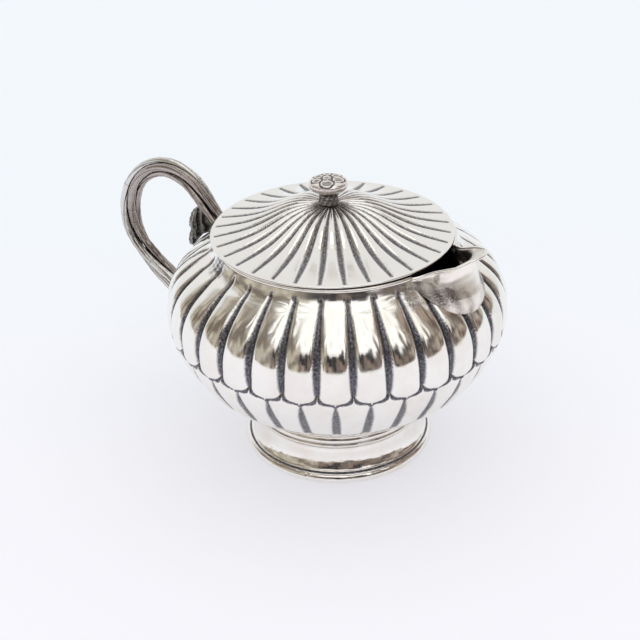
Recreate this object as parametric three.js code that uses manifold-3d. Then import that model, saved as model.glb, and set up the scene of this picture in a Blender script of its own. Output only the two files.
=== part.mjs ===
// A lobed silver pouring pot with a lift-off lid, on a stepped round foot.
// Millimetres, +Z up. The pot pours towards +X and its handle is on the -X side. The origin is
// on the table, half way between the belly's front and the handle's back.
import * as THREE from 'three';
import { mergeVertices } from 'three/addons/utils/BufferGeometryUtils.js';
import Module from 'manifold-3d';

// Driving dimensions
const BOWL_RADIUS = 53.35;      // widest, over the lobes
const HANDLE_REACH = 89.85;      // from the bowl's axis to the back of the handle
const POT_X = (HANDLE_REACH - BOWL_RADIUS) / 2;
const GAP = 0.3;                // between pieces that are soldered or rest on each other
const SHEET = 1.0;              // thickness of the raised silver sheet
const LOBES = 32;
const LOBE_DEPTH = 1.3;
const BOWL_BOTTOM = 12.2;
const BOWL_TOP = 70.6;
const FLUTE_DEPTH = 0.35;
const LID_RADIUS = 37.3;
const LID_TURN = THREE.MathUtils.degToRad(0.8);
const LID_SHIFT = new THREE.Vector2(-0.85, -0.61);    // the lid sits a little off centre in its seat
const KNOB_SHIFT = new THREE.Vector2(-0.65, -0.47);   // and the knob a little off centre on the lid
const FOOT_SHIFT = new THREE.Vector2(-0.43, -0.31);   // the foot is soldered on a little off centre
const LID_SHEET = 0.9;
const STRANDS = 4;
const STRAND_RADIUS = 1.28;
const STRAND_TURNS = 0.8;       // how far the handle's bundle twists from root to root

const silver = { color: 0xd9d6cf, roughness: 0.22, metalness: 1 };
const darkSilver = { color: 0x6f6a66, roughness: 0.45, metalness: 1 };

const wasm = await Module();
wasm.setup();

const point = (x, y) => new THREE.Vector2(x, y);
const pot = new THREE.Group();
const lid = new THREE.Group();

function addPiece(group, name, geometry, finish) {
  const mesh = new THREE.Mesh(geometry, new THREE.MeshStandardMaterial(finish));
  mesh.name = name;
  group.add(mesh);
  return mesh;
}

// Vertices that share a place become one, and triangles that shrank to a line on the axis go.
function welded(geometry) {
  const bare = geometry.clone();
  bare.deleteAttribute('normal');
  bare.deleteAttribute('uv');
  const merged = mergeVertices(bare, 1e-4);
  const kept = [];
  const index = merged.index.array;
  for (let i = 0; i < index.length; i += 3) {
    const [a, b, c] = [index[i], index[i + 1], index[i + 2]];
    if (a !== b && b !== c && c !== a) {
      kept.push(a, b, c);
    }
  }
  merged.setIndex(kept);
  merged.computeVertexNormals();
  return merged;
}

// Turns an outline of (radius, height) points around Z. The outline runs anticlockwise.
function turned(outline, segments) {
  const geometry = new THREE.LatheGeometry(outline, segments);
  geometry.rotateX(Math.PI / 2);
  return welded(geometry);
}

function closedOutline(points) {
  return [...points, points[0]];
}

function mapVertices(geometry, move) {
  const position = geometry.attributes.position;
  const vertex = new THREE.Vector3();
  for (let i = 0; i < position.count; i += 1) {
    vertex.fromBufferAttribute(position, i);
    const moved = move(vertex);
    position.setXYZ(i, moved.x, moved.y, moved.z);
  }
  geometry.computeVertexNormals();
  return geometry;
}

function toSolid(geometry) {
  const vertProperties = Float32Array.from(geometry.attributes.position.array);
  const triVerts = Uint32Array.from(geometry.index.array);
  return new wasm.Manifold(new wasm.Mesh({ numProp: 3, vertProperties, triVerts }));
}

function toGeometry(solid) {
  const mesh = solid.getMesh();
  const geometry = new THREE.BufferGeometry();
  geometry.setAttribute('position', new THREE.BufferAttribute(mesh.vertProperties, 3));
  geometry.setIndex(new THREE.BufferAttribute(mesh.triVerts, 1));
  return welded(geometry);
}

function cutAway(geometry, tool) {
  return toGeometry(toSolid(geometry).subtract(toSolid(tool)));
}

// ---- Bowl ------------------------------------------------------------------------------------

// The belly over the crests of its lobes, from the middle of the base to the mouth
const bowlCurve = new THREE.SplineCurve([
  point(0, BOWL_BOTTOM), point(14, 12.6), point(24, 14.2), point(30.9, 18), point(39.3, 24),
  point(44, 28), point(47.6, 33), point(50.65, 38), point(52.65, 43), point(BOWL_RADIUS, 48),
  point(53.05, 53), point(51.05, 58), point(47.9, 62), point(42.8, 66), point(38.6, 68.8),
  point(37.6, 69.7), point(37.2, BOWL_TOP),
]);

function inwards(curve, steps, thickness) {
  const inner = [];
  for (let i = 0; i <= steps; i += 1) {
    const t = i / steps;
    const tangent = curve.getTangent(t);
    const place = curve.getPoint(t);
    inner.push(point(Math.max(0, place.x - tangent.y * thickness), place.y + tangent.x * thickness));
  }
  inner[0].x = 0;
  inner[steps].y = curve.getPoint(1).y;
  return inner;
}

const bowlOutside = bowlCurve.getPoints(18);
const bowlInside = inwards(bowlCurve, 10, SHEET).reverse();

// How far the surface sinks between two lobes: nothing on a crest, the whole depth in a groove
function betweenLobes(x, y) {
  return 1 - Math.abs(Math.cos(Math.atan2(y, x) * LOBES / 2));
}

function lobeDepth(z) {
  const along = THREE.MathUtils.clamp((z - 19) / (68 - 19), 0, 1);
  return LOBE_DEPTH * Math.sqrt(Math.sin(Math.PI * along));
}

function lobed(vertex) {
  const radius = Math.hypot(vertex.x, vertex.y);
  if (radius < 1) {
    return vertex;
  }
  const sunk = 1 - lobeDepth(vertex.z) * betweenLobes(vertex.x, vertex.y) / radius;
  return vertex.multiply(new THREE.Vector3(sunk, sunk, 1));
}

// The belly's radius on a crest at a height
function bowlRadius(z) {
  let low = 0.2;
  let high = 1;
  for (let i = 0; i < 30; i += 1) {
    const middle = (low + high) / 2;
    if (bowlCurve.getPoint(middle).y < z) {
      low = middle;
    } else {
      high = middle;
    }
  }
  return bowlCurve.getPoint(low).x;
}

const SPOUT_HALF_OPENING = 9.6;
const SPOUT_SILL = 66;

function addBowl() {
  const shell = mapVertices(turned([...bowlOutside, ...bowlInside], 2 * LOBES), lobed);
  const opening = new THREE.BoxGeometry(30, 2 * SPOUT_HALF_OPENING, 20);
  opening.translate(15 + 25, 0, 10 + SPOUT_SILL);
  addPiece(pot, 'bowl', cutAway(shell, welded(opening)), silver);
}

// ---- Foot ------------------------------------------------------------------------------------

const FOOT_RADIUS = 30.45;

function addFootPiece(name, outline, segments) {
  const mesh = addPiece(pot, name, turned(closedOutline(outline), segments), silver);
  mesh.position.set(FOOT_SHIFT.x, FOOT_SHIFT.y, 0);
}

function addFoot() {
  addFootPiece('foot_collar', [
    point(25.4, 12.2), point(26.5, 12.3), point(27.1, 12.9), point(27.3, 13.7), point(26.9, 14.4),
    point(26.1, 14.7), point(25.3, 14.2),
  ], 48);

  const cove = new THREE.SplineCurve([
    point(29.0, 2.7), point(29.15, 3.3), point(28.5, 4.1), point(27.3, 6.0), point(26.5, 8.2),
    point(26.15, 9.8), point(26.5, 11.1), point(26.3, 11.9),
  ]);
  const outside = cove.getPoints(8);
  const inside = cove.getPoints(5).map((p) => point(p.x - SHEET, p.y)).reverse();
  addFootPiece('foot_cove', [...outside, ...inside], 44);

  addFootPiece('foot_base_wire', [
    point(27.9, 0), point(29.9, 0), point(FOOT_RADIUS, 0.55), point(FOOT_RADIUS, 1.6),
    point(29.9, 2.25), point(29.2, 2.4), point(27.9, 2.4),
  ], 48);
}

// ---- Mouth and pouring lip -------------------------------------------------------------------

const LIP_ROOT_ANGLE = THREE.MathUtils.degToRad(18.5);
const LIP_FOOT_Z = 60.6;
const LIP_RISE = 7.6;
const LIP_ROOT_HALF_WIDTH = 11.4;

// Half of the lip's top edge, from its root at the mouth to the tip, as reach, half width, height
const lipHalf = [
  [36.2, 11.3, 72.1], [37.6, 10.0, 72.6], [40.2, 9.2, 73.7], [43.8, 8.6, 75.1], [46.7, 7.4, 76.1],
  [48.8, 5.2, 77.1], [50.5, 2.6, 77.75],
];
const lipRim = new THREE.CatmullRomCurve3([
  ...lipHalf.map(([reach, half, height]) => new THREE.Vector3(reach, -half, height)),
  new THREE.Vector3(51.1, 0, 77.85),
  ...lipHalf.map(([reach, half, height]) => new THREE.Vector3(reach, half, height)).reverse(),
]);

// How far the prow stands in front of a straight line from its foot to its tip, at even steps up
const prowSwell = new THREE.SplineCurve(
  [0, 0.35, -0.4, -2.3, -3.8, -3.6, 0].map((swell, step) => point(step, swell)),
);

// The line where the lip meets the shoulder, low in front and rising to the mouth at its sides
function lipFoot(across, inset) {
  const angle = across * (LIP_ROOT_ANGLE - inset * 0.03);
  const z = LIP_FOOT_Z + inset * 1.4 + LIP_RISE * across * across;
  const radius = bowlRadius(z) + GAP + 0.1;
  return new THREE.Vector3(radius * Math.cos(angle), radius * Math.sin(angle), z);
}

function lipWall(across, up, inset) {
  const rim = lipRim.getPoint((across + 1) / 2);
  rim.y -= inset * Math.sign(across) * Math.min(1, Math.abs(across) * 2) * 0.9;
  rim.x -= inset * (1 - Math.abs(across));
  const foot = lipFoot(across, inset);
  const wall = foot.lerp(rim, up);
  wall.x += prowSwell.getPoint(up).y * Math.cos(across * Math.PI / 2);
  return wall;
}

function addLip() {
  const sheet = new THREE.BoxGeometry(1, 1, 1, 20, 6, 1);
  mapVertices(sheet, (v) => lipWall(2 * v.x, v.y + 0.5, (0.5 - v.z) * SHEET));
  addPiece(pot, 'pouring_lip', welded(sheet), silver);
}

function addRimWires() {
  const section = closedOutline([
    point(35.75, 71.0), point(36.7, 70.9), point(37.1, 71.6), point(36.7, 72.3), point(35.75, 72.3),
  ]);
  const ring = turned(section, 64);
  const gate = new THREE.BoxGeometry(20, 2 * LIP_ROOT_HALF_WIDTH, 10);
  gate.translate(38, 0, 72);
  addPiece(pot, 'mouth_rim_wire', cutAway(ring, welded(gate)), silver);

  const radius = 0.45;
  const lift = new THREE.Vector3(-0.45, 0, GAP + radius + 0.1);
  const bead = new THREE.CylinderGeometry(radius, radius, 1, 6, 24);
  const outward = new THREE.Vector3();
  mapVertices(bead, (v) => {
    const t = 0.02 + 0.96 * (v.y + 0.5);
    const along = lipRim.getTangent(t);
    outward.crossVectors(along, new THREE.Vector3(0, 0, 1)).normalize();
    const up = new THREE.Vector3().crossVectors(outward, along);
    return lipRim.getPoint(t).add(lift).addScaledVector(outward, v.x).addScaledVector(up, v.z);
  });
  addPiece(pot, 'lip_rim_wire', welded(bead), silver);
}

// ---- Handle ----------------------------------------------------------------------------------

// The middle of the twisted bundle: out of the shoulder, over the finger gap, back to the belly
const handlePath = new THREE.CatmullRomCurve3([
  [46.6, 64.9], [49.5, 68.1], [53.4, 72.9], [57.6, 76.5], [63, 78.6], [68.7, 78.8], [74.2, 77.1],
  [79.3, 73.7], [83.1, 69.4], [85.5, 64.6], [86.5, 59.4], [86.1, 53.8], [83.9, 48.8], [80.2, 44.6],
  [75.7, 40.8], [70.3, 37.2], [64.5, 33.2], [58.6, 29.9], [53.3, 28.4], [48.5, 30.2],
].map(([reach, height]) => new THREE.Vector3(-reach, 0, height)));

const sideways = new THREE.Vector3(0, 1, 0);

function addStrand(number) {
  const offset = (STRAND_RADIUS + GAP / 2) / Math.sin(Math.PI / STRANDS);
  const strand = new THREE.CylinderGeometry(STRAND_RADIUS, STRAND_RADIUS, 1, 6, 38);
  mapVertices(strand, (v) => {
    const t = v.y + 0.5;
    const along = handlePath.getTangentAt(t);
    const outward = new THREE.Vector3().crossVectors(along, sideways);
    const turn = 2 * Math.PI * (number / STRANDS + STRAND_TURNS * t);
    return handlePath.getPointAt(t)
      .addScaledVector(outward, offset * Math.cos(turn) + v.x)
      .addScaledVector(sideways, offset * Math.sin(turn) + v.z);
  });
  addPiece(pot, `handle_strand_${number}`, welded(strand), silver);
}

// A small shaped plate between the bundle's end and the bowl, square to the bundle
function addHandlePad(name, t, radius) {
  const thickness = 0.9;
  const pad = new THREE.CylinderGeometry(radius, radius + 0.6, thickness, 20);
  const away = handlePath.getTangentAt(t).multiplyScalar(t < 0.5 ? 1 : -1);
  const mesh = addPiece(pot, name, welded(pad), silver);
  mesh.quaternion.setFromUnitVectors(sideways, away);
  mesh.position.copy(handlePath.getPointAt(t)).addScaledVector(away, -(GAP + thickness / 2));
}

// The serrated leaf stands on the shoulder under the upper root, hollow towards the pot
function addLeaf() {
  const teeth = 5;
  const outline = new THREE.Shape();
  outline.moveTo(-2.6, 10.6);
  for (let i = 0; i < teeth; i += 1) {
    const down = i / teeth;
    outline.lineTo(-4.6 - 4.0 * Math.sin(down * 2), 10.2 - 10.4 * down);
    outline.lineTo(-3.9 - 4.0 * Math.sin(down * 2), 9.4 - 10.4 * down);
  }
  outline.lineTo(-7.2, 0);
  outline.lineTo(7.2, 0);
  for (let i = teeth - 1; i >= 0; i -= 1) {
    const down = i / teeth;
    outline.lineTo(3.9 + 4.0 * Math.sin(down * 2), 9.4 - 10.4 * down);
    outline.lineTo(4.6 + 4.0 * Math.sin(down * 2), 10.2 - 10.4 * down);
  }
  outline.lineTo(2.6, 10.6);
  outline.closePath();
  const plate = new THREE.ExtrudeGeometry(outline, { depth: 1.1, bevelEnabled: false, steps: 1 });
  const hollow = 0.035;
  mapVertices(plate, (v) => new THREE.Vector3(-54.1 - v.z + hollow * v.x * v.x, -v.x, 56.4 + v.y));
  addPiece(pot, 'handle_leaf', welded(plate), darkSilver);
}

// ---- Lid -------------------------------------------------------------------------------------

const lidTop = new THREE.SplineCurve([
  point(0, 82.6), point(7, 82.5), point(12, 81.7), point(17.5, 79.4), point(22, 77.2),
  point(28, 75.3), point(36, 73.65), point(LID_RADIUS, 73.4),
]);

const TANG_RADIUS = 1.0;
const TANG_HOLE = 1.35;

function addLidDisc() {
  const top = lidTop.getPoints(12).reverse();
  const under = lidTop.getPoints(7).map((p) => point(p.x, p.y - LID_SHEET));
  under[under.length - 1].x -= 0.2;
  const disc = turned([...under, ...top], 2 * LOBES);
  mapVertices(disc, (v) => {
    const radius = Math.hypot(v.x, v.y);
    const along = THREE.MathUtils.clamp((radius - 5) / (36.5 - 5), 0, 1);
    const onTop = v.z > 81.9 - LID_SHEET / 2 - 0.012 * radius * radius;
    const sunk = FLUTE_DEPTH * Math.sin(Math.PI * along) * betweenLobes(v.x, v.y);
    return new THREE.Vector3(v.x, v.y, onTop ? v.z - sunk : v.z);
  });
  const hole = new THREE.CylinderGeometry(TANG_HOLE, TANG_HOLE, 8, 16);
  hole.rotateX(Math.PI / 2);
  hole.translate(KNOB_SHIFT.x, KNOB_SHIFT.y, 82);
  const mesh = addPiece(lid, 'lid_disc', cutAway(disc, welded(hole)), silver);
  mesh.rotation.z = LID_TURN;
}

function addLidFlange() {
  const section = closedOutline([
    point(33.3, 69.2), point(33.9, 69.2), point(34.2, 69.6), point(34.2, 72.7), point(33.3, 72.8),
  ]);
  addPiece(lid, 'lid_flange', turned(section, 48), silver);
}

function addKnob() {
  const stem = [
    point(0, 80.2), point(1.5, 80.2), point(1.6, 80.5), point(TANG_RADIUS, 80.7),
    point(TANG_RADIUS, 82.9), point(3.5, 82.9), point(3.0, 83.6), point(2.9, 85.4),
    point(3.3, 86.4), point(0, 86.4),
  ];
  const cap = [
    point(0, 86.7), point(4.3, 86.7), point(5.5, 87.6), point(5.9, 88.8), point(5.3, 90.0),
    point(3.2, 90.5), point(0, 90.6),
  ];
  const washer = closedOutline([
    point(TANG_HOLE, 80.75), point(2.9, 80.75), point(3.2, 81.0), point(3.1, 81.3),
    point(TANG_HOLE, 81.35),
  ]);
  const pieces = { knob_stem: stem, knob_cap: cap, knob_washer: washer };
  for (const [name, outline] of Object.entries(pieces)) {
    const finish = name === 'knob_stem' ? darkSilver : silver;
    const mesh = addPiece(lid, name, turned(outline, 24), finish);
    mesh.position.set(KNOB_SHIFT.x, KNOB_SHIFT.y, 0);
  }
}

addBowl();
addFoot();
addLip();
addRimWires();
for (let number = 1; number <= STRANDS; number += 1) {
  addStrand(number);
}
addHandlePad('handle_upper_pad', 0, 3.9);
addHandlePad('handle_lower_pad', 1, 3.9);
addLeaf();
addLidDisc();
addLidFlange();
addKnob();

lid.position.set(LID_SHIFT.x, LID_SHIFT.y, 0);
pot.add(lid);
pot.position.x = POT_X;

const part = new THREE.Group();
part.add(pot);

export default part;
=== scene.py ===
"""A lobed silver pouring pot with a fluted lift-off lid, a twisted loop handle and a stepped foot.

Shapes are worked out in millimetres round the pot's own axis and handed to Blender in metres."""
from math import cos, pi, radians, sin

import bpy
import numpy as np
from mathutils import Matrix, Vector


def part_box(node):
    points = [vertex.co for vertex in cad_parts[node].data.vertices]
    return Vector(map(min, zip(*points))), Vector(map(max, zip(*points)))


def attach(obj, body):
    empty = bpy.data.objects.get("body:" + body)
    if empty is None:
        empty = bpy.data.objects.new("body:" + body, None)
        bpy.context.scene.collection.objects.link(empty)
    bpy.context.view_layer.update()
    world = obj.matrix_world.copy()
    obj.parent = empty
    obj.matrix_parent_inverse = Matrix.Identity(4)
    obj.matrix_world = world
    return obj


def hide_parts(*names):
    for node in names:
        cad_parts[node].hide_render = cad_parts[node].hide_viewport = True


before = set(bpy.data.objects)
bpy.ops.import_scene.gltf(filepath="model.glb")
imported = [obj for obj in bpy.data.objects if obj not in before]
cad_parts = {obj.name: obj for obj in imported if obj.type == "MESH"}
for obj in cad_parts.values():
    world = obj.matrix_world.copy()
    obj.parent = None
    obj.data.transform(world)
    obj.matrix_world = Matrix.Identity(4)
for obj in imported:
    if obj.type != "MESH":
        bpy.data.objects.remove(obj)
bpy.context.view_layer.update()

# ---- Driving dimensions, in millimetres ------------------------------------------------------

MM = 0.001
bowl_low, bowl_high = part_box("bowl")
POT_X = (bowl_low[0] + bowl_high[0]) / 2 / MM      # where the pot's axis stands in the row frame
BOWL_TOP = 71.45
SHEET = 1.0
LOBES = 32
LOBE_STEP = 2 * pi / LOBES
CUSP_Z = 45.9          # where the long grooves end
SCALLOP_Z = 42.7       # the lowest points of the chased line between them
LID_RADIUS = 37.3
LID_SHEET = 0.9
LID_SHIFT = (-0.85, -0.61)
LID_TURN = radians(0.8)
KNOB_SHIFT = (-0.65, -0.47)
FOOT_SHIFT = (-0.24, -0.18)
STRANDS = 4
STRAND_RADIUS = 1.30
STRAND_OFFSET = 1.96
STRAND_TURNS = 0.8

CAMERA_AZIMUTH = 35.8
CAMERA_ELEVATION = 29.82
CAMERA_ROLL = -1.66
CAMERA_DISTANCE = 400.2
CAMERA_AIM = (-5.52, 41.8)       # aim point: to the camera's right of the pot's axis, and height
CAMERA_LENS = 70.9


# ---- Small tools -----------------------------------------------------------------------------

def smooth(low, high, value):
    t = np.clip((value - low) / (high - low), 0, 1)
    return t * t * (3 - 2 * t)


def through(points, value):
    """A smooth line through (place, height) points, read at value (monotone cubic)."""
    xs, ys = (np.array(column, dtype=float) for column in zip(*points))
    widths = np.diff(xs)
    slopes = np.diff(ys) / widths
    tangents = np.concatenate([slopes[:1], np.zeros(len(xs) - 2), slopes[-1:]])
    for i in range(1, len(xs) - 1):
        if slopes[i - 1] * slopes[i] > 0:
            w1 = 2 * widths[i] + widths[i - 1]
            w2 = widths[i] + 2 * widths[i - 1]
            tangents[i] = (w1 + w2) / (w1 / slopes[i - 1] + w2 / slopes[i])
    value = np.clip(value, xs[0], xs[-1])
    i = np.clip(np.searchsorted(xs, value) - 1, 0, len(widths) - 1)
    t = (value - xs[i]) / widths[i]
    a = (1 + 2 * t) * (1 - t) ** 2 * ys[i] + t * (1 - t) ** 2 * widths[i] * tangents[i]
    b = t * t * (3 - 2 * t) * ys[i + 1] + t * t * (t - 1) * widths[i] * tangents[i + 1]
    return a + b


def spline(points, count):
    """Points at even distances along a Catmull-Rom curve through the given points."""
    p = np.array(points, dtype=float)
    p = np.vstack([2 * p[0] - p[1], p, 2 * p[-1] - p[-2]])
    fine = []
    for i in range(1, len(p) - 2):
        t = np.linspace(0, 1, 40, endpoint=False)[:, None]
        a, b, c, d = p[i - 1], p[i], p[i + 1], p[i + 2]
        fine.append(0.5 * (2 * b + (c - a) * t + (2 * a - 5 * b + 4 * c - d) * t ** 2
                           + (3 * b - a - 3 * c + d) * t ** 3))
    fine = np.vstack(fine + [p[-2:-1]])
    steps = np.concatenate([[0], np.cumsum(np.linalg.norm(np.diff(fine, axis=0), axis=1))])
    even = np.linspace(0, steps[-1], count)
    return np.stack([np.interp(even, steps, fine[:, k]) for k in range(fine.shape[1])], axis=-1)


def add_surface(name, grid, patina_and_shade, material, body, nodes, around=True, cap_start=False, cap_end=False,
                keep=None, shift=(0, 0)):
    """A mesh from a grid of points (rows, columns, xyz) in mm round the pot's axis.

    around joins the last column to the first; the caps close the first and last row with a fan."""
    rows, columns = grid.shape[:2]
    points = grid.reshape(-1, 3).copy()
    shade = np.broadcast_to(patina_and_shade, (rows, columns)).reshape(-1)
    r = np.arange(rows - 1)[:, None]
    c = np.arange(columns if around else columns - 1)[None, :]
    d = (c + 1) % columns
    quads = np.stack(np.broadcast_arrays(r * columns + c, r * columns + d, (r + 1) * columns + d,
                                         (r + 1) * columns + c), axis=-1).reshape(-1, 4)
    if keep is not None:
        quads = quads[keep(points[quads].mean(axis=1))]
    fans = []
    for wanted, row, flip in ((cap_start, 0, True), (cap_end, rows - 1, False)):
        if wanted:
            ring = row * columns + np.arange(columns)
            centre = len(points)
            points = np.vstack([points, points[ring].mean(axis=0)])
            shade = np.append(shade, shade[ring].mean())
            following = np.roll(ring, -1)
            pair = (following, ring) if flip else (ring, following)
            fans.append(np.stack([pair[0], pair[1], np.full(columns, centre)], axis=-1))
    points[:, 0] += POT_X + shift[0]
    points[:, 1] += shift[1]
    fan = np.vstack(fans) if fans else np.zeros((0, 3), int)
    mesh = bpy.data.meshes.new(name)
    mesh.vertices.add(len(points))
    mesh.vertices.foreach_set("co", (points * MM).astype(np.float32).ravel())
    mesh.loops.add(quads.size + fan.size)
    mesh.loops.foreach_set("vertex_index", np.concatenate([quads.ravel(), fan.ravel()]).astype(np.int32))
    mesh.polygons.add(len(quads) + len(fan))
    starts = np.concatenate([np.arange(len(quads)) * 4, quads.size + np.arange(len(fan)) * 3])
    mesh.polygons.foreach_set("loop_start", starts.astype(np.int32))
    mesh.update(calc_edges=True)
    mesh.validate()
    mesh.shade_smooth()
    mesh.attributes.new("patina_and_shade", "FLOAT", "POINT").data.foreach_set("value", shade.astype(np.float32))
    piece = bpy.data.objects.new(name, mesh)
    bpy.context.scene.collection.objects.link(piece)
    mesh.materials.append(material)
    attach(piece, body)
    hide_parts(*nodes)
    return piece


def turn(profile, columns):
    """A grid of points from a profile of (radius, height) turned round the axis."""
    angle = np.arange(columns) * 2 * pi / columns
    radius, height = profile[:, 0:1], profile[:, 1:2]
    return np.stack([radius * np.cos(angle), radius * np.sin(angle),
                     np.broadcast_to(height, (len(profile), columns))], axis=-1)


# ---- Materials -------------------------------------------------------------------------------

class Nodes:
    """Short names for the few node patterns that the materials and the sky use."""

    def __init__(self, tree):
        self.tree = tree
        tree.nodes.clear()

    def add(self, kind, inputs=None, **settings):
        node = self.tree.nodes.new(kind)
        for key, value in settings.items():
            setattr(node, key, value)
        for key, value in (inputs or {}).items():
            if isinstance(value, bpy.types.NodeSocket):
                self.tree.links.new(value, node.inputs[key])
            else:
                node.inputs[key].default_value = value
        return node

    def math(self, operation, a, b=0.0):
        return self.add("ShaderNodeMath", {0: a, 1: b}, operation=operation).outputs[0]

    def ramp(self, value, low, high, to_low=0.0, to_high=1.0):
        inputs = {"Value": value, "From Min": low, "From Max": high, "To Min": to_low, "To Max": to_high}
        return self.add("ShaderNodeMapRange", inputs, interpolation_type="SMOOTHSTEP").outputs[0]

    def mix(self, fac, a, b):
        node = self.add("ShaderNodeMix", data_type="RGBA")
        for index, value in ((0, fac), (6, a), (7, b)):
            if isinstance(value, bpy.types.NodeSocket):
                self.tree.links.new(value, node.inputs[index])
            else:
                node.inputs[index].default_value = value
        return node.outputs[2]

    def noise(self, where, scale, detail=2.0, roughness=0.5):
        inputs = {"Vector": where, "Scale": scale, "Detail": detail, "Roughness": roughness}
        return self.add("ShaderNodeTexNoise", inputs).outputs["Fac"]


GRAIN = 1500.0         # stipple marks per metre


def silver(name, tone, warm, oxide_and_shade, haze=(0.27, 0.27, 0.30, 1), polish=(0.08, 0.17), dents=0.6,
           toning=0.5, ripples=0.0):
    """Polished silver whose patina_and_shade attribute says where it is darkened and punched with a stipple:
    oxide in the chased grooves and stains, and painted shade in creases, hollows, insides and under parts.

    oxide_and_shade is the darkest and haze the lightest colour of that darkened ground, for the oxide and the
    painted shade alike."""
    material = bpy.data.materials.new(name)
    material.use_nodes = True
    n = Nodes(material.node_tree)
    where = n.add("ShaderNodeTexCoord").outputs["Object"]
    patina_and_shade = n.add("ShaderNodeAttribute", attribute_name="patina_and_shade").outputs["Fac"]

    grain = n.noise(where, GRAIN, 3.0, 0.6)
    ragged = n.math("ADD", patina_and_shade, n.math("MULTIPLY", n.math("SUBTRACT", grain, 0.5), 0.55))
    dark = n.ramp(ragged, 0.12, 0.95)
    ground = n.mix(n.ramp(n.noise(where, 1.1 * GRAIN, 3.0, 0.65), 0.34, 0.74), oxide_and_shade, haze)
    film = n.math("MULTIPLY", n.ramp(n.noise(where, 55, 4.0, 0.6), 0.42, 0.75), toning)
    colour = n.mix(dark, n.mix(film, tone, warm), ground)

    smudge = n.ramp(n.noise(where, 130, 4.0, 0.65), 0.35, 0.75, *polish)
    rough = n.add("ShaderNodeMix", {0: dark, 2: smudge, 3: 0.33}, data_type="FLOAT").outputs[0]

    # Hammer-softened swell, fine polishing lines and the punched stipple
    stretched = n.add("ShaderNodeMapping", {"Vector": where, "Scale": (1.0, 1.0, 14.0)}).outputs[0]
    cells = n.add("ShaderNodeTexVoronoi", {"Vector": where, "Scale": GRAIN}).outputs["Distance"]
    swell = n.add("ShaderNodeBump", {"Height": n.noise(where, 95, 2.0), "Strength": dents,
                                     "Distance": 0.0004})
    ripple = n.add("ShaderNodeBump", {"Height": n.noise(where, 330, 2.0), "Strength": ripples,
                                      "Distance": 0.0002, "Normal": swell.outputs[0]})
    lines = n.add("ShaderNodeBump", {"Height": n.noise(stretched, 420, 3.0), "Strength": 0.12,
                                     "Distance": 0.00004, "Normal": ripple.outputs[0]})
    dots = n.add("ShaderNodeBump", {"Height": n.math("MULTIPLY", cells, dark), "Strength": 0.35,
                                    "Distance": 0.0003, "Normal": lines.outputs[0]})
    shader = n.add("ShaderNodeBsdfPrincipled", {"Base Color": colour, "Metallic": 1.0, "Roughness": rough,
                                                "Normal": dots.outputs[0]})
    n.add("ShaderNodeOutputMaterial", {"Surface": shader.outputs[0]})
    return material


TONE = (0.93, 0.91, 0.875, 1)
WARM = (0.87, 0.82, 0.755, 1)
# Darkest ground colour: oxide in the chasing, and painted shade in the foot's creases.
OXIDE_AND_SHADE = (0.062, 0.060, 0.072, 1)
bright_silver = silver("bright_silver", TONE, (0.82, 0.775, 0.71, 1), OXIDE_AND_SHADE, toning=0.75, ripples=0.06)
lid_silver = silver("lid_silver", (0.91, 0.89, 0.86, 1), (0.86, 0.83, 0.79, 1), (0.085, 0.08, 0.086, 1),
                    haze=(0.30, 0.29, 0.31, 1), polish=(0.12, 0.22), dents=0.7)
lip_silver = silver("lip_silver", (0.95, 0.915, 0.865, 1), (0.84, 0.77, 0.69, 1), (0.14, 0.115, 0.105, 1),
                    haze=(0.48, 0.42, 0.39, 1), polish=(0.32, 0.44), dents=1.0, toning=0.8)
wire_silver = silver("wire_silver", (0.90, 0.865, 0.82, 1), (0.78, 0.72, 0.66, 1), OXIDE_AND_SHADE,
                     polish=(0.20, 0.30), dents=0.6)
foot_silver = silver("foot_silver", TONE, (0.84, 0.78, 0.71, 1), OXIDE_AND_SHADE, dents=0.9, toning=0.8, ripples=0.45)
pale_handle = silver("pale_handle", (0.74, 0.73, 0.71, 1), (0.50, 0.47, 0.44, 1), (0.10, 0.09, 0.088, 1),
                     haze=(0.28, 0.26, 0.25, 1), polish=(0.16, 0.30), dents=0.9, toning=0.9)
rosy_handle = silver("rosy_handle", (0.47, 0.42, 0.395, 1), (0.28, 0.235, 0.21, 1), (0.08, 0.067, 0.062, 1),
                     haze=(0.24, 0.205, 0.19, 1), polish=(0.18, 0.32), dents=0.9, toning=0.9)
knob_silver = silver("knob_silver", (0.92, 0.87, 0.84, 1), (0.74, 0.68, 0.65, 1), (0.05, 0.045, 0.045, 1),
                     haze=(0.30, 0.30, 0.28, 1), polish=(0.22, 0.36), dents=0.6, toning=0.7)
dark_silver = silver("oxidised_silver", (0.16, 0.145, 0.125, 1), (0.07, 0.06, 0.052, 1),
                     (0.020, 0.018, 0.016, 1), haze=(0.06, 0.055, 0.045, 1), polish=(0.3, 0.45), dents=1.0)
stem_silver = silver("stem_silver", (0.30, 0.275, 0.25, 1), (0.17, 0.15, 0.13, 1), (0.028, 0.024, 0.02, 1),
                     haze=(0.09, 0.08, 0.07, 1), polish=(0.25, 0.4), dents=1.0, toning=0.8)
# A dark copy of the silver for the leaf: painted shade of its hollow side, with some oxide.
leaf_silver = silver("leaf_silver", (0.42, 0.41, 0.39, 1), (0.26, 0.25, 0.23, 1), (0.012, 0.010, 0.007, 1),
                     haze=(0.032, 0.026, 0.018, 1), polish=(0.3, 0.45), dents=1.0, toning=0.8)
# A dark copy of the silver for the bowl's inside and the lid's flange: painted shade inside the pot.
shaded_inside_silver = silver("shaded_inside_silver", (0.22, 0.20, 0.19, 1), (0.12, 0.105, 0.10, 1),
                       (0.012, 0.012, 0.014, 1), haze=(0.035, 0.033, 0.035, 1), polish=(0.3, 0.5))


# ---- Bowl ------------------------------------------------------------------------------------

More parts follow.
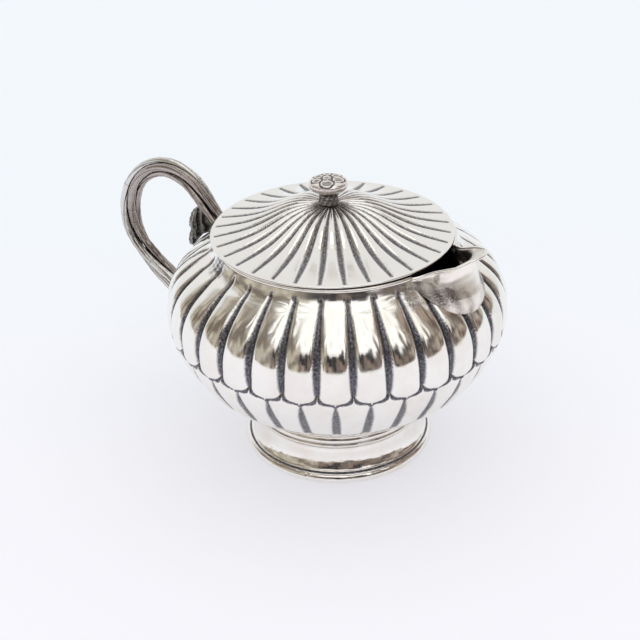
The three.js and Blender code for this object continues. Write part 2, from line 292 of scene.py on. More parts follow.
BELLY = [(12.2, 0.0), (12.6, 14), (14.2, 24), (18, 30.9), (24, 39.3), (28, 44.0), (33, 47.6), (38, 50.65),
         (43, 52.6), (48, 53.2), (53, 52.95), (58, 51.05), (62, 47.9), (66, 42.8), (67.5, 40.4),
         (68.3, 39.25), (69, 38.55), (69.7, 38.05), (70.4, 37.65), (71.0, 37.35), (71.45, 37.1)]
belly = spline([(r, z) for z, r in BELLY], 900)


def belly_radius(z):
    wall = belly[belly[:, 0] > 20]
    return np.interp(z, wall[:, 1], wall[:, 0])


def brace(across):
    """The chased line's height between its low point (across 0) and its cusp (across 1)."""
    return through([(0, 0), (0.10, 0.20), (0.30, 0.36), (0.60, 0.46), (0.84, 0.70), (1, 1)], across)


def bowl_relief(angle, z):
    """How far the chased bowl lies inside its lobes' crests, and where it is oxidised."""
    place = angle / LOBE_STEP
    across = np.abs(place - np.round(place)) * 2          # 0 on a crest, 1 in a long groove
    radius = belly_radius(z)
    width = radius * LOBE_STEP
    line_z = SCALLOP_Z + (CUSP_Z - SCALLOP_Z) * brace(across)
    upper = smooth(-0.3, 0.3, z - line_z)

    from_long = (1 - across) * width / 2                  # mm from the middle of the long groove
    long_half = through([(45.8, 0.3), (46.7, 0.75), (48, 0.95), (50, 1.08), (54, 1.22), (58, 1.24),
                         (63, 0.98), (67, 0.72), (69.3, 0.55), (70.8, 0.45)], z)
    long_on = smooth(45.5, 46.3, z) * smooth(70.7, 69.9, z)
    long_groove = smooth(0.62, -0.62, from_long - long_half) * long_on

    from_short = across * width / 2
    short_half = through([(26.3, 1.1), (28, 1.3), (32, 1.4), (37, 1.3), (40, 0.9), (41.8, 0.5),
                          (42.5, 0.3)], z)
    short_on = smooth(26.2, 28.2, z) * smooth(42.6, 41.9, z)
    short_groove = smooth(0.60, -0.60, from_short - short_half) * short_on

    slope = (brace(across + 0.02) - brace(across - 0.02)) / 0.04 * (CUSP_Z - SCALLOP_Z) * 2 / width
    from_line = np.abs(z - line_z) / np.sqrt(1 + slope ** 2)
    line = smooth(0.92, 0.36, from_line - 0.12 * smooth(0.25, 0.0, across)) * smooth(1.02, 0.93, across)

    swell_up = 1.05 * smooth(69.6, 62, z) * smooth(40, 47, z)
    swell_low = 0.75 * smooth(21, 31, z)
    sunk_upper = swell_up * across ** 2.2
    sunk_lower = swell_low * (1 - across) ** 2 + 0.22 * smooth(34, 43, z)
    sunk = sunk_upper * upper + sunk_lower * (1 - upper)
    sunk = sunk + 0.50 * long_groove * smooth(70.7, 68.7, z) + 0.38 * short_groove + 0.32 * line
    patina_and_shade = np.clip(np.maximum.reduce([long_groove, 0.84 * short_groove, line, neck_stain(angle, z)]), 0, 1)
    return sunk, patina_and_shade


def neck_stain(angle, z):
    """Places on the shoulder that polishing did not reach: beside the handle and at the lip's roots."""
    darkening = np.zeros(np.shape(angle))
    for middle, half, low, depth in ((-121, 11, 66.0, 0.8), (-145, 16, 68.6, 0.5), (160, 14, 67.8, 0.5),
                                     (-25, 11, 64.2, 0.55), (24, 8, 64.5, 0.45)):
        away = np.abs((np.degrees(angle) - middle + 180) % 360 - 180)
        darkening = np.maximum(darkening, depth * smooth(half, 0, away) * smooth(low, low + 2.6, z))
    hatch = np.sin(62 * angle + 2.6 * z) * np.sin(41 * angle - 3.1 * z)
    return darkening * (0.85 + 0.4 * hatch)


SPOUT_HALF_OPENING = 9.4
SPOUT_SILL = 66.2
SPOUT_START = 25       # past the pot's axis, so that only the front of the mouth is cut


def spout_gate(centre):
    """Faces to keep: all but those over the opening into the pouring lip."""
    x, y, z = centre.T
    return ~((x > SPOUT_START) & (np.abs(y) < SPOUT_HALF_OPENING) & (z > SPOUT_SILL))


CHASING_START = 17     # the chasing fades in between these heights
CHASING_FULL = 22


def add_bowl():
    columns = LOBES * 28
    profile = belly[np.linspace(0, len(belly) - 1, 260).astype(int)].copy()
    profile[0, 0] = 0.4
    grid = turn(profile, columns)
    angle = np.arctan2(grid[..., 1], grid[..., 0])
    height = np.clip(grid[..., 2], 15, BOWL_TOP)
    sunk, patina_and_shade = bowl_relief(angle, height)
    wall = smooth(CHASING_START, CHASING_FULL, grid[..., 2])
    radius = np.hypot(grid[..., 0], grid[..., 1])
    grid[..., :2] *= (1 - sunk * wall / radius)[..., None]
    add_surface("bowl_outside", grid, patina_and_shade * wall, bright_silver, "pot", ["bowl"],
                cap_start=True, keep=spout_gate)

    tangent = np.gradient(profile, axis=0)
    tangent /= np.linalg.norm(tangent, axis=1)[:, None]
    inner = profile + SHEET * np.stack([-tangent[:, 1], tangent[:, 0]], axis=-1)
    inner[0, 0] = 0.3
    inner[-1] = (profile[-1, 0] - SHEET, profile[-1, 1])
    inner = inner[::-4]
    inner = np.vstack([profile[-1:], inner])
    bowl_in = turn(inner, LOBES * 8)
    angle_in = np.arctan2(bowl_in[..., 1], bowl_in[..., 0])
    sunk_in = bowl_relief(angle_in, np.clip(bowl_in[..., 2], 15, BOWL_TOP))[0]
    sunk_in = sunk_in * smooth(CHASING_START, CHASING_FULL, bowl_in[..., 2])
    radius_in = np.maximum(np.hypot(bowl_in[..., 0], bowl_in[..., 1]), 0.1)
    bowl_in[..., :2] *= (1 - sunk_in / radius_in)[..., None]
    # Painted shade inside the bowl, darker further down.
    darkening = np.broadcast_to(smooth(68, 60, inner[:, 1])[:, None] * 0.4, bowl_in.shape[:2])
    add_surface("bowl_inside", bowl_in, darkening, shaded_inside_silver, "pot", ["bowl"], cap_end=True, keep=spout_gate)


# ---- Foot ------------------------------------------------------------------------------------

def add_ring(name, outline, columns, material, nodes, body="pot", patina_and_shade=0.0, shift=(0, 0), uneven=0.0):
    """A ring from a closed outline of (radius, height), anticlockwise, with slightly uneven turning."""
    closed = np.vstack([outline, outline[:1]])
    grid = turn(closed, columns)
    angle = np.arctan2(grid[..., 1], grid[..., 0])
    wander = 1 + uneven * (np.sin(3 * angle + 1) + 0.6 * np.sin(7 * angle + 2)) / 30
    grid[..., :2] *= wander[..., None]
    if np.ndim(patina_and_shade):
        patina_and_shade = np.append(patina_and_shade, patina_and_shade[0])[:, None]
    return add_surface(name, grid, patina_and_shade, material, body, nodes, shift=shift)


SEAM_ANGLE = radians(-111 + CAMERA_AZIMUTH)
SEAM_RADIUS = 30.4


def add_foot():
    collar = spline([(25.3, 12.3), (26.3, 12.15), (27.1, 12.8), (27.35, 13.6), (27.0, 14.4), (26.2, 14.85),
                     (25.4, 14.5), (25.2, 13.3)], 40)
    add_ring("foot_collar_bead", collar, 300, foot_silver, ["foot_collar"], shift=FOOT_SHIFT, uneven=0.08)

    skirt = spline([(28.6, 3.0), (28.95, 3.1), (28.85, 3.3), (28.4, 3.65), (28.0, 4.25), (27.62, 5.0),
                    (27.28, 5.8), (26.95, 6.8), (26.68, 7.9), (26.46, 9.0), (26.25, 9.8), (26.2, 10.2),
                    (26.3, 10.6), (26.6, 11.0), (26.65, 11.6), (26.2, 12.1)], 110)
    outline = np.vstack([skirt, skirt[::-1] - (SHEET, 0)])
    step = np.arange(len(outline))
    # Painted shade: dark lines in the creases where the skirt meets the base wire and the collar.
    crease_shade = 0.95 * smooth(8, 5, step) + 0.8 * smooth(104, 109, step) * (step < len(skirt))
    add_ring("foot_cove_skirt", outline, 420, foot_silver, ["foot_cove"], patina_and_shade=crease_shade, shift=FOOT_SHIFT,
             uneven=0.14)

    wire = spline([(27.9, 0.3), (28.3, 0.0), (29.9, 0.0), (30.45, 0.3), (30.67, 0.9), (30.55, 1.7),
                   (30.15, 2.4), (29.5, 2.9), (28.9, 3.1), (28.1, 3.1), (27.9, 1.6)], 60)
    closed = np.maximum(np.vstack([wire, wire[:1]]), 0)
    grid = turn(closed, 480)
    angle = np.arctan2(grid[..., 1], grid[..., 0])
    seam = np.abs((angle - SEAM_ANGLE + pi) % (2 * pi) - pi) * SEAM_RADIUS
    notch = smooth(0.28, 0.06, seam) * (closed[:, 1] > 0.1)[:, None]
    grid[..., :2] *= (1 - 0.006 * notch)[..., None]
    patchy = 0.5 + 0.5 * np.sin(5 * angle) * np.sin(13 * angle + 1)
    # Painted shade in the crevice on the wire's inner top, where the skirt stands.
    crevice_shade = smooth(29.7, 29.3, closed[:, 0])[:, None] * smooth(2.5, 2.8, closed[:, 1])[:, None] * 0.98
    shade = np.maximum(notch * 0.75 * patchy, crevice_shade)
    add_surface("foot_base_ring", grid, shade, foot_silver, "pot", ["foot_base_wire"], shift=FOOT_SHIFT)


# ---- Mouth and pouring lip -------------------------------------------------------------------

LIP_ROOT_ANGLE = radians(21)
LIP_FOOT_Z = 60.4
LIP_RISE = 10.1
LIP_SIDE = [(35.0, 12.4, 71.6), (36.4, 11.6, 71.9), (38.0, 10.3, 72.5), (40.4, 9.25, 73.6), (43.8, 8.6, 75.0),
            (46.7, 7.4, 76.0), (48.8, 5.2, 77.1), (50.5, 2.6, 77.75)]
lip_rim = spline([(reach, -half, height) for reach, half, height in LIP_SIDE] + [(51.1, 0, 77.85)]
                 + [(reach, half, height) for reach, half, height in LIP_SIDE[::-1]], 161)
PROW = [(0, 0), (0.12, 0.45), (0.3, -0.3), (0.43, -1.6), (0.58, -3.1), (0.7, -3.9), (0.82, -3.9),
        (0.92, -2.6), (1, 0)]


def lip_sheet(inset, up):
    """One side of the lip's sheet: inset 0 is its outside and 1 its inside."""
    across = np.linspace(-1, 1, len(lip_rim))
    angle = across * (LIP_ROOT_ANGLE - inset * 0.03)
    foot_z = LIP_FOOT_Z + inset * 1.2 * (1 - across ** 2) + LIP_RISE * np.abs(across) ** 2.3
    foot_r = belly_radius(foot_z) + 0.05 - inset * 0.8 * (1 - across ** 2)
    foot = np.stack([foot_r * np.cos(angle), foot_r * np.sin(angle), foot_z], axis=-1)
    rim = lip_rim.copy()
    rim[:, 1] -= inset * 0.8 * np.sign(across) * np.minimum(1, np.abs(across) * 2)
    rim[:, 0] -= inset * 0.9 * (1 - np.abs(across))
    rise = up[None, :, None]
    sheet = foot[:, None] * (1 - rise) + rim[:, None] * rise
    sheet[..., 0] += through(PROW, up)[None] * (np.cos(across * pi / 2) ** 1.6)[:, None]
    flare = 0.45 * np.sin(pi * up) ** 2
    sheet[..., 1] += flare[None] * (np.sin(across * pi) * (1 - across ** 4))[:, None]
    return sheet


def add_lip():
    up = np.linspace(0, 1, 70)
    outside = lip_sheet(0, up)
    inside = lip_sheet(1, up)[:, ::-1]
    crest = (outside[:, -1:] + inside[:, :1]) / 2 + (0, 0, 0.2)
    section = np.concatenate([outside, crest, inside], axis=1)
    across = np.linspace(-1, 1, len(lip_rim))[:, None]
    up = up[None]
    blotch = np.sin(9 * across + 5 * up) * np.sin(17 * across - 3 * up + 1)
    line = 0.40 + 0.46 * np.abs(across) ** 1.2 + 0.03 * blotch
    solder = smooth(0.07, -0.07, up - line) * (0.58 + 0.24 * blotch)
    solder = solder * (0.35 + 0.65 * smooth(0.04, 0.26, np.abs(across)))
    spots = 0.7 * smooth(0.10, 0.03, np.hypot(across + 0.62, (up - 0.80) * 0.4))
    shade_out = np.clip(np.maximum(solder, spots) + 0.08 * blotch, 0, 1)
    # Painted shade inside the lip, darker further down towards the pot.
    shade_in = np.broadcast_to(0.42 + 0.4 * smooth(1.0, 0.5, up[:, ::-1]), shade_out.shape)
    shade = np.concatenate([shade_out, np.zeros((len(across), 1)), shade_in], axis=1)
    add_surface("lip_sheet", section, shade, lip_silver, "pot", ["pouring_lip"], cap_start=True, cap_end=True)


def tube(path, radius, columns, side=None):
    """A grid of points round a path; side is a vector that stays in each section's plane."""
    along = np.gradient(path, axis=0)
    along /= np.linalg.norm(along, axis=1)[:, None]
    side = np.array((0, 0, 1.0)) if side is None else np.array(side, dtype=float)
    across = np.cross(along, side)
    across /= np.linalg.norm(across, axis=1)[:, None]
    over = np.cross(across, along)
    angle = np.arange(columns) * 2 * pi / columns
    radius = np.broadcast_to(radius, (len(path), columns)) if np.ndim(radius) < 2 else radius
    return (path[:, None] + across[:, None] * (radius * np.cos(angle))[..., None]
            + over[:, None] * (radius * np.sin(angle))[..., None])


def add_rim_wires():
    gate = LIP_ROOT_ANGLE - 0.03
    moulding = spline([(36.2, 71.3), (35.75, 71.7), (35.8, 72.15), (36.2, 72.4), (36.65, 72.35),
                       (37.0, 72.05), (37.1, 71.7), (37.0, 71.45), (36.6, 71.25)], 46)
    angle = np.linspace(gate, 2 * pi - gate, 500)
    grid = np.stack([np.outer(np.cos(angle), moulding[:, 0]), np.outer(np.sin(angle), moulding[:, 0]),
                     np.broadcast_to(moulding[:, 1], (500, len(moulding)))], axis=-1)
    add_surface("mouth_wire", grid, 0.0, wire_silver, "pot", ["mouth_rim_wire"], cap_start=True, cap_end=True)
    bead = lip_rim + (-0.12, 0, 0.30)
    along = np.linspace(-1, 1, len(bead))
    swelling = 0.40 + 0.36 * smooth(0.86, 1.0, np.abs(along))
    bead[:, 2] -= 0.35 * smooth(0.86, 1.0, np.abs(along))
    add_surface("lip_wire", tube(bead, swelling[:, None], 14), 0.0, wire_silver, "pot", ["lip_rim_wire"],
                cap_start=True, cap_end=True)


# ---- Handle ----------------------------------------------------------------------------------

handle_path = spline([(-reach, 0, height) for reach, height in (
    (46.6, 64.9), (49.5, 68.1), (53.4, 72.9), (57.6, 76.5), (63, 78.6), (68.7, 78.8), (74.2, 77.1),
    (79.2, 73.6), (82.8, 69.3), (85.0, 64.5), (86.0, 59.4), (85.6, 53.9), (83.4, 48.9), (79.9, 44.7),
    (75.5, 40.9), (70.2, 37.2), (64.5, 33.2), (58.6, 29.9), (53.3, 28.4), (48.5, 30.2))], 520)
SIDE = np.array((0, 1.0, 0))


def handle_frame(path):
    along = np.gradient(path, axis=0)
    along /= np.linalg.norm(along, axis=1)[:, None]
    return along, np.cross(along, SIDE)


PALE_STRANDS = (1, 4)
NODE_MARKS = [(0.13, 0.42, 0.7), (0.17, 0.5, 0.83), (0.10, 0.21, 0.66), (0.3, 0.55, 0.9)]


def add_strand(number):
    t = np.linspace(0, 1, len(handle_path))
    outward = handle_frame(handle_path)[1]
    turned = 2 * pi * (number / STRANDS + STRAND_TURNS * t)
    thicker = 1 + 0.08 * smooth(0.36, 0.50, t) * smooth(1.0, 0.86, t)
    centre = (handle_path + outward * (thicker * STRAND_OFFSET * np.cos(turned))[:, None]
              + SIDE * (thicker * STRAND_OFFSET * np.sin(turned))[:, None])
    columns = 44
    around = np.arange(columns) * 2 * pi / columns
    girth = STRAND_RADIUS * (1 + 0.03 * np.sin(9 * t * 2 * pi + number) + 0.02 * np.sin(31 * t * 2 * pi))
    girth = girth * thicker
    # Long furrows wind round the strand a little faster than the bundle twists
    wind = around[None] + 7 * t[:, None] + 1.7 * number
    furrow = smooth(0.55, 0.98, np.cos(3 * wind + 0.6 * np.sin(11 * t[:, None])))
    fibre = 0.5 + 0.5 * np.cos(11 * around[None] - 16 * t[:, None] + number)
    ribs_here = smooth(0.50, 0.52, t) * smooth(0.60, 0.58, t) * (number == 2)
    ribs = ribs_here * (0.5 + 0.5 * np.sin(t * 760))
    relief = 1 - 0.10 * furrow - 0.035 * fibre - 0.07 * ribs[:, None]
    grid = tube(centre, girth[:, None] * relief, columns, SIDE)
    from_middle = grid - handle_path[:, None]
    out_of_bundle = centre - handle_path
    out_of_bundle /= np.linalg.norm(out_of_bundle, axis=1)[:, None]
    facing = (from_middle * out_of_bundle[:, None]).sum(axis=-1) / STRAND_OFFSET
    # Painted shade: each strand darkened on the side that faces into the bundle, between the strands.
    crease_shade = 0.80 * smooth(1.05, 0.62, facing)
    marks = sum(smooth(0.0020, 0.0008, np.abs(t - at)) for at in NODE_MARKS[number - 1])
    shade = np.maximum.reduce([crease_shade, 0.62 * furrow, 0.34 * fibre ** 2,
                               0.5 * np.broadcast_to(ribs[:, None], crease_shade.shape),
                               0.7 * np.broadcast_to(marks[:, None], crease_shade.shape)])
    finish = pale_handle if number in PALE_STRANDS else rosy_handle
    add_surface(f"handle_strand_{number}_vine", grid, shade, finish, "pot",
                [f"handle_strand_{number}"], cap_start=True, cap_end=True)


def add_handle_pad(name, at, toward):
    """A domed plate where the bundle meets the bowl."""
    direction = handle_path[at] - handle_path[at + toward]
    direction = -direction / np.linalg.norm(direction)
    other = np.cross(direction, SIDE)
    rings = np.linspace(0.05, 1, 9)
    angle = np.arange(48) * 2 * pi / 48
    dome = [(4.1 * ring, 0.55 * (1 - ring ** 4)) for ring in rings]
    skirt = [(4.3, -0.25), (4.3, -0.75), (0.2, -0.75)]
    profile = np.array(dome + skirt)
    start = handle_path[at] - direction * 0.55
    grid = (start + direction * profile[:, 1][:, None, None]
            + (other * np.cos(angle)[:, None] + SIDE * np.sin(angle)[:, None])[None]
            * profile[:, 0][:, None, None])
    shade = np.broadcast_to(smooth(3.2, 4.2, profile[:, 0])[:, None] * 0.6, grid.shape[:2])
    add_surface(name + "_plate", grid, shade, pale_handle, "pot", [name], cap_start=True, cap_end=True)


def add_leaf():
    """A lobed leaf with a rolled margin, hollow towards the pot, standing on the shoulder."""
    rows, half = 120, 40
    down = np.linspace(0, 1, rows)
    width = through([(0, 3.0), (0.12, 4.6), (0.28, 5.9), (0.44, 6.0), (0.56, 4.9), (0.62, 4.8), (0.76, 7.2),
                     (0.88, 8.3), (1, 8.0)], down)
    across = np.concatenate([np.linspace(-1, 1, half), np.linspace(1, -1, half)])
    back = np.concatenate([np.zeros(half), np.ones(half)])
    y = -width[:, None] * across[None]
    roll = smooth(0.84, 0.95, np.abs(across))[None]
    folds = 0.30 * np.cos(across * pi * 3.5)[None] * smooth(0, 0.3, down)[:, None] * (1 - roll)
    x = -54.0 + 0.035 * y ** 2 - back[None] * 0.9 + folds - 0.5 * np.sin(down * pi)[:, None]
    x = x + 0.55 * roll * (1 - back)[None] + 0.12 * np.sin(down * 60)[:, None] * roll
    z = 68.0 - 9.6 * down[:, None] - 0.4 * np.abs(across[None]) * smooth(0, 0.4, down)[:, None]
    grid = np.stack([x, y, np.broadcast_to(z, x.shape)], axis=-1)
    # The blade is darkened between lighter veins, with a lighter rolled margin: painted shade of its hollow
    # side, with some oxide.
    vein = (0.42 + 0.30 * np.cos(across * pi * 3.5)[None]
            + 0.10 * np.sin(down * 46)[:, None] * np.sin(np.abs(across) * 9)[None])
    hatch = 0.25 * (0.5 + 0.5 * np.sin(down * 70)[:, None]) * roll
    shade = np.clip((1.0 - vein) * (1 - roll) + 0.15 * roll + hatch, 0, 1)
    add_surface("handle_leaf_blade", grid, np.broadcast_to(shade, x.shape), leaf_silver, "pot",
                ["handle_leaf"], cap_start=True, cap_end=True)


# ---- Lid -------------------------------------------------------------------------------------

LID_TOP = [(0, 82.6), (4.5, 82.6), (7, 82.5), (9.5, 82.3), (12, 81.7), (15, 80.6), (17.5, 79.4), (20, 78.2),
           (22, 77.3), (25, 76.2), (28, 75.35), (32, 74.45), (36, 73.7), (37.3, 73.5)]


def lid_relief(angle, radius):
    place = angle / LOBE_STEP
    across = np.abs(place - np.round(place)) * 2
    from_groove = (1 - across) * radius * LOBE_STEP / 2
    half = through([(3, 0.13), (6, 0.30), (10, 0.48), (15, 0.60), (20, 0.74), (25, 0.92), (29, 0.90),
                    (33, 0.72), (36.2, 0.58)], radius)
    soft = np.minimum(0.52, 0.22 + 0.014 * radius)
    on = smooth(36.3, 35.8, radius) * smooth(1.8, 3.0, radius)
    groove = smooth(soft, -soft, from_groove - half) * on
    swell = through([(3, 0.05), (8, 0.18), (14, 0.38), (20, 0.50), (26, 0.30), (32, 0.10), (37.3, 0.0)],
                    radius)
    near_knob = smooth(7.5, 4.5, radius)
    sunk = swell * across ** 2 + 0.34 * groove
    return sunk, np.clip(0.86 * groove + 0.06 * near_knob, 0, 1)


def add_lid():
    profile_r = np.concatenate([np.linspace(0.3, 36.2, 190), np.linspace(36.35, 37.1, 8)])
    top_z = through(LID_TOP, profile_r)
    columns = LOBES * 24
    grid = turn(np.stack([profile_r, top_z], axis=-1), columns)
    angle = np.arctan2(grid[..., 1], grid[..., 0])
    sunk, shade = lid_relief(angle, np.hypot(grid[..., 0], grid[..., 1]))
    grid[..., 2] -= sunk
    edge = np.array([(37.22, 73.42), (37.3, 73.28), (37.28, 73.12), (37.1, 73.0), (36.6, 73.02)])
    under_r = np.linspace(36.0, 0.3, 60)
    sheet = 0.55 + (LID_SHEET - 0.55) * smooth(36, 31, under_r)
    under = np.stack([under_r, through(LID_TOP, under_r) - sheet], axis=-1)
    below = turn(np.vstack([edge, under]), columns)
    whole = np.concatenate([grid, below], axis=0)[::-1]
    patina_and_shade = np.concatenate([shade, np.zeros(below.shape[:2])], axis=0)[::-1]
    turned = np.array([[cos(LID_TURN), sin(LID_TURN)], [-sin(LID_TURN), cos(LID_TURN)]])
    whole[..., :2] = whole[..., :2] @ turned
    add_surface("lid_fluted_disc", whole, patina_and_shade, lid_silver, "lid", ["lid_disc"], shift=LID_SHIFT,
                cap_start=True, cap_end=True)

    flange = spline([(33.3, 69.2), (33.8, 69.1), (34.2, 69.5), (34.2, 71), (34.2, 73.0), (33.4, 73.1),
                     (33.3, 71.5)], 40)
    # The flange under the lid takes the dark copy of the silver as painted shade.
    add_ring("lid_flange_ring", flange, 240, shaded_inside_silver, ["lid_flange"], body="lid", shift=LID_SHIFT)
    washer = spline([(1.35, 80.7), (2.5, 80.7), (3.2, 81.0), (2.6, 81.45), (1.35, 81.5)], 24)
    add_ring("knob_washer_ring", washer, 60, dark_silver, ["knob_washer"], body="lid",
             shift=np.add(LID_SHIFT, KNOB_SHIFT))


# Petals as right, away and radius, seen from the camera's side of the cap
PETALS = ((-0.52, -3.4, 2.15), (3.0, -0.8, 1.95), (-3.5, -1.0, 1.6), (-2.9, 2.2, 1.6), (-0.3, 3.75, 1.5),
          (2.4, 2.6, 1.65))
FLOWER_CENTRE = (-0.43, 0.6, 1.5)


def add_knob():
    shift = np.add(LID_SHIFT, KNOB_SHIFT)
    stem = spline([(1.5, 80.3), (1.0, 80.8), (1.0, 82.0), (1.4, 82.6), (3.15, 82.65), (3.1, 83.0),
                   (2.95, 83.5), (2.85, 84.6), (2.85, 85.8), (3.0, 86.6), (2.0, 86.9)], 90)
    grid = turn(stem, 120)
    angle = np.arctan2(grid[..., 1], grid[..., 0])
    rough_cut = np.sin(5 * angle + 2 * grid[..., 2]) * np.sin(3 * angle - 3 * grid[..., 2]) * 0.06
    rough_cut = rough_cut * smooth(83, 83.6, grid[..., 2]) * smooth(86.6, 86.0, grid[..., 2])
    grid[..., :2] *= (1 + rough_cut / 3)[..., None]
    mottle = np.sin(4 * angle + 3 * grid[..., 2]) * np.sin(7 * angle - 5 * grid[..., 2])
    # The stem's top, under the cap, is darkened as painted shadow; the mottle is the stem's own tone.
    shade = np.clip(0.42 + 0.4 * mottle + 0.5 * smooth(85.4, 86.3, grid[..., 2]), 0, 1)
    add_surface("knob_stem_turned", grid, shade, stem_silver, "lid",
                ["knob_stem"], shift=shift, cap_start=True, cap_end=True)

    profile = spline([(0.2, 86.6), (3.2, 86.6), (4.6, 86.9), (5.55, 87.7), (5.95, 88.7), (5.85, 89.35),
                      (5.35, 89.85), (4.4, 90.2), (2.2, 90.45), (0.1, 90.5)], 260)
    grid = turn(profile, 460)
    x, y, z = grid[..., 0], grid[..., 1], grid[..., 2]
    azimuth = radians(CAMERA_AZIMUTH)
    right_way = x * cos(azimuth) + y * sin(azimuth)
    away = y * cos(azimuth) - x * sin(azimuth)
    top = smooth(88.5, 89.3, z)
    cut = np.zeros(x.shape)
    hollow = np.zeros(x.shape)
    covered = np.zeros(x.shape, bool)
    for petal_right, petal_away, petal_radius in (FLOWER_CENTRE, *PETALS):
        petal_x, petal_y = right_way - petal_right, away - petal_away
        frill = 0.07 * np.cos(5 * np.arctan2(petal_y, petal_x))
        inside = petal_radius + frill - np.hypot(petal_x, petal_y)
        cut = np.where(covered, cut, np.maximum(cut, smooth(0.36, 0.16, np.abs(inside))))
        hollow = np.where(covered, hollow, smooth(0.50, 0.85, inside))
        covered = covered | (inside > 0)
    radius, angle = np.hypot(x, y), np.arctan2(y, x)
    ticks = smooth(0.80, 0.97, np.cos(angle * 17 + np.sin(angle * 5))) * smooth(4.9, 5.2, radius)
    ticks = ticks * smooth(87.8, 88.4, z) * (1 - smooth(0, 0.3, cut))
    speckle = 0.5 + 0.5 * np.sin(x * 9 + 2 * np.sin(y * 7)) * np.sin(y * 10 + 2 * np.sin(x * 6))
    grid[..., 2] -= (0.24 * cut + 0.16 * hollow + 0.05 * speckle * hollow + 0.04 * ticks) * top
    # The cap's underside, below z 87.4, is darkened as painted shade; the cut lines, ticks and stippled
    # hollows are chased marks.
    shade = np.clip(np.maximum.reduce([0.95 * cut * top, 0.35 * ticks, (0.46 + 0.36 * speckle) * hollow * top,
                                       0.35 * smooth(87.4, 86.8, z)]), 0, 1)
    add_surface("knob_flower_cap", grid, shade, knob_silver, "lid", ["knob_cap"], shift=shift,
                cap_start=True, cap_end=True)


# ---- Floor, sky and camera -------------------------------------------------------------------

FLOOR_SIZE = 12        # metres


def add_floor():
    bpy.ops.mesh.primitive_plane_add(size=FLOOR_SIZE, location=(0, 0, 0))
    floor = bpy.context.object
    floor.name = "floor"
    material = bpy.data.materials.new("pale_floor")
    material.use_nodes = True
    n = Nodes(material.node_tree)
    where = n.add("ShaderNodeTexCoord").outputs["Object"]
    turned = n.add("ShaderNodeMapping",
                   {"Vector": where, "Rotation": (0, 0, radians(-CAMERA_AZIMUTH))}).outputs[0]
    away = n.add("ShaderNodeSeparateXYZ", {0: turned}).outputs[1]
    tint = n.mix(n.ramp(away, -0.12, 0.22), (0.865, 0.855, 0.893, 1), (0.80, 0.84, 0.87, 1))
    tint = n.mix(n.math("MULTIPLY", n.noise(where, 30.0, 3.0), 0.10), tint, (0.87, 0.86, 0.86, 1))
    paint = n.mix(0.30, tint, (0, 0, 0, 1))
    shader = n.add("ShaderNodeBsdfPrincipled", {"Base Color": paint, "Roughness": 0.75,
                                                "Emission Color": tint, "Emission Strength": 0.42,
                                                "Specular IOR Level": 0.1})
    n.add("ShaderNodeOutputMaterial", {"Surface": shader.outputs[0]})
    floor.data.materials.append(material)


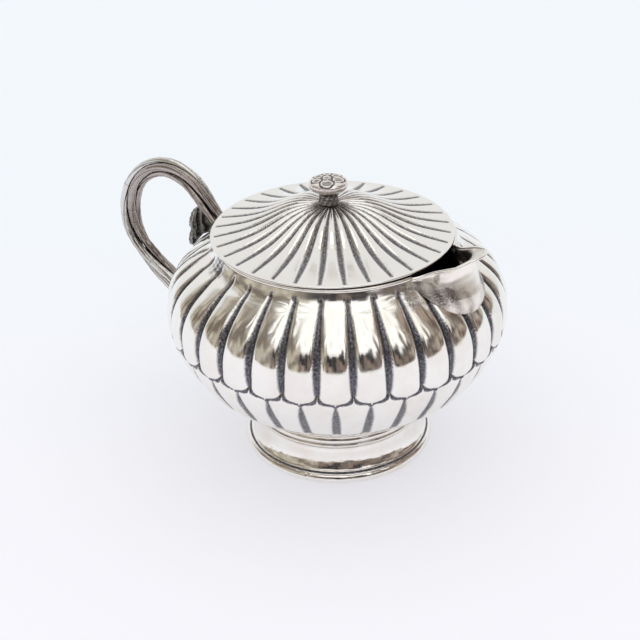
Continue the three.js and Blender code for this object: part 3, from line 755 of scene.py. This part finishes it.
def add_sky():
    """A white studio with a bright window above, and a dim room behind the camera for the silver."""
    world = bpy.data.worlds.new("studio")
    bpy.context.scene.world = world
    world.use_nodes = True
    n = Nodes(world.node_tree)
    where = n.add("ShaderNodeTexCoord").outputs["Generated"]
    turned = n.add("ShaderNodeMapping", {"Vector": where, "Rotation": (0, 0, radians(-CAMERA_AZIMUTH))},
                   vector_type="POINT").outputs[0]
    x, y, z = n.add("ShaderNodeSeparateXYZ", {0: turned}).outputs
    toward = n.math("MULTIPLY", y, -1.0)
    height = n.math("ARCSINE", z)
    side = n.math("ARCTAN2", x, toward)                  # 0 behind the camera, growing to its right
    over = n.math("ARCTAN2", z, toward)                  # 0 behind the camera, a quarter turn overhead
    across = n.math("ARCSINE", x)
    flat = n.add("ShaderNodeCombineXYZ", {0: side, 1: n.math("MULTIPLY", height, 0.6), 2: 0.0}).outputs[0]

    # Figures and furniture along the horizon: upright blocks of colour with softer marks inside them
    columns = n.math("SNAP", side, 0.17)
    rows = n.math("SNAP", n.math("ADD", height, n.math("MULTIPLY", columns, 0.7)), 0.26)
    cells = n.add("ShaderNodeCombineXYZ", {0: columns, 1: rows, 2: 3.0}).outputs[0]
    blocks = n.noise(cells, 4.6, 2.0, 0.6)
    heads = n.noise(n.add("ShaderNodeCombineXYZ", {0: columns, 1: 0.0, 2: 7.0}).outputs[0], 5.3, 1.0, 0.5)
    broad = n.noise(flat, 1.9, 3.0, 0.55)
    fine = n.noise(flat, 4.2, 4.0, 0.60)
    accents = n.mix(0.45, blocks, n.noise(flat, 3.4, 2.0, 0.5))
    both = n.mix(0.6, fine, blocks)
    people = n.mix(n.ramp(both, 0.44, 0.56), (0.040, 0.038, 0.042, 1), (0.24, 0.19, 0.16, 1))
    people = n.mix(n.ramp(blocks, 0.60, 0.64), people, (0.50, 0.42, 0.34, 1))
    red = n.math("MULTIPLY", n.ramp(accents, 0.55, 0.62), n.ramp(side, 0.15, 0.40))
    people = n.mix(n.math("MULTIPLY", red, 0.6), people, (0.33, 0.12, 0.10, 1))
    blue = n.math("MULTIPLY", n.ramp(accents, 0.46, 0.38), n.ramp(side, -0.45, -0.75))
    people = n.mix(n.math("MULTIPLY", blue, 0.5), people, (0.22, 0.34, 0.48, 1))

    left_wall = n.mix(n.ramp(fine, 0.36, 0.66), (0.22, 0.195, 0.16, 1), (0.66, 0.60, 0.50, 1))
    left_wall = n.mix(n.ramp(broad, 0.52, 0.44), left_wall, (0.20, 0.165, 0.13, 1))
    left_wall = n.mix(n.math("MULTIPLY", blue, 0.45), left_wall, (0.30, 0.42, 0.55, 1))
    right_wall = n.mix(n.ramp(fine, 0.40, 0.64), (0.13, 0.10, 0.085, 1), (0.52, 0.46, 0.40, 1))
    right_wall = n.mix(n.math("MULTIPLY", red, 0.45), right_wall, (0.30, 0.15, 0.12, 1))
    room = n.mix(n.ramp(side, -0.42, -0.62), people, left_wall)
    room = n.mix(n.ramp(side, 0.85, 1.1), room, right_wall)

    wander = n.math("MULTIPLY", n.math("SUBTRACT", heads, 0.55), 1.3)
    top = n.math("ADD", n.ramp(side, -0.35, -0.9, 0.72, 1.10), n.ramp(side, 0.8, 1.3, 0.0, 0.40))
    inside = n.ramp(n.math("SUBTRACT", height, n.math("ADD", top, wander)), 0.07, -0.07)
    inside = n.math("MULTIPLY", inside, n.ramp(n.math("ABSOLUTE", side), 2.25, 1.95))
    inside = n.math("MULTIPLY", inside, n.ramp(height, 0.03, 0.07))

    window = n.math("MULTIPLY", n.ramp(over, 0.70, 0.80), n.ramp(over, 1.76, 1.70))
    window = n.math("MULTIPLY", window, n.ramp(n.math("ABSOLUTE", n.math("ADD", across, 0.05)), 0.95, 0.80))
    cross_bar = n.ramp(n.math("ABSOLUTE", n.math("SUBTRACT", over, 2.20)), 0.05, 0.02)
    cross_bar = n.math("MULTIPLY", cross_bar, n.ramp(n.math("ABSOLUTE", across), 0.13, 0.08))
    from_lamp = n.math("MAXIMUM", n.math("DIVIDE", n.math("ABSOLUTE", n.math("SUBTRACT", over, 1.73)), 0.075),
                       n.math("DIVIDE", n.math("ABSOLUTE", across), 0.40))
    dome = n.mix(n.ramp(over, 1.70, 1.9), (0.97, 0.96, 0.95, 1), (0.86, 0.86, 0.855, 1))
    dome = n.mix(n.math("MULTIPLY", cross_bar, 0.7), dome, (0.45, 0.40, 0.35, 1))
    cloud = n.mix(n.ramp(fine, 0.48, 0.66), (1.22, 1.22, 1.19, 1), (0.84, 0.82, 0.77, 1))
    dome = n.mix(window, dome, cloud)
    dome = n.mix(n.ramp(from_lamp, 1.75, 1.35), dome, (0.54, 0.50, 0.44, 1))
    dome = n.mix(n.ramp(from_lamp, 1.10, 0.85), dome, (1.7, 1.68, 1.62, 1))
    seen = n.mix(inside, dome, room)
    lit = n.mix(n.add("ShaderNodeLightPath").outputs["Is Glossy Ray"], (0.98, 0.985, 1.0, 1), seen)
    light = n.add("ShaderNodeBackground", {"Color": lit, "Strength": 1.0})
    n.add("ShaderNodeOutputWorld", {"Surface": light.outputs[0]})


def add_camera():
    data = bpy.data.cameras.new("camera")
    data.sensor_width = 36
    data.lens = CAMERA_LENS
    data.clip_start = 0.01
    camera = bpy.data.objects.new("camera", data)
    bpy.context.scene.collection.objects.link(camera)
    azimuth, elevation, roll = (radians(a) for a in (CAMERA_AZIMUTH, CAMERA_ELEVATION, CAMERA_ROLL))
    right = Vector((cos(azimuth), sin(azimuth), 0))
    back = Vector((sin(azimuth) * cos(elevation), -cos(azimuth) * cos(elevation), sin(elevation)))
    up = back.cross(right)
    tilted_right = right * cos(roll) + up * sin(roll)
    tilted_up = up * cos(roll) - right * sin(roll)
    aim = right * CAMERA_AIM[0] + Vector((POT_X, 0, CAMERA_AIM[1]))
    place = (aim + back * CAMERA_DISTANCE) * MM
    axes = Matrix((tilted_right, tilted_up, back)).transposed()
    camera.matrix_world = Matrix.Translation(place) @ axes.to_4x4()
    bpy.context.scene.camera = camera


add_bowl()
add_foot()
add_lip()
add_rim_wires()
for strand in range(1, STRANDS + 1):
    add_strand(strand)
add_handle_pad("handle_upper_pad", 0, 6)
add_handle_pad("handle_lower_pad", -1, -6)
add_leaf()
add_lid()
add_knob()
add_floor()
add_sky()
add_camera()
bpy.context.scene.view_settings.view_transform = "Standard"
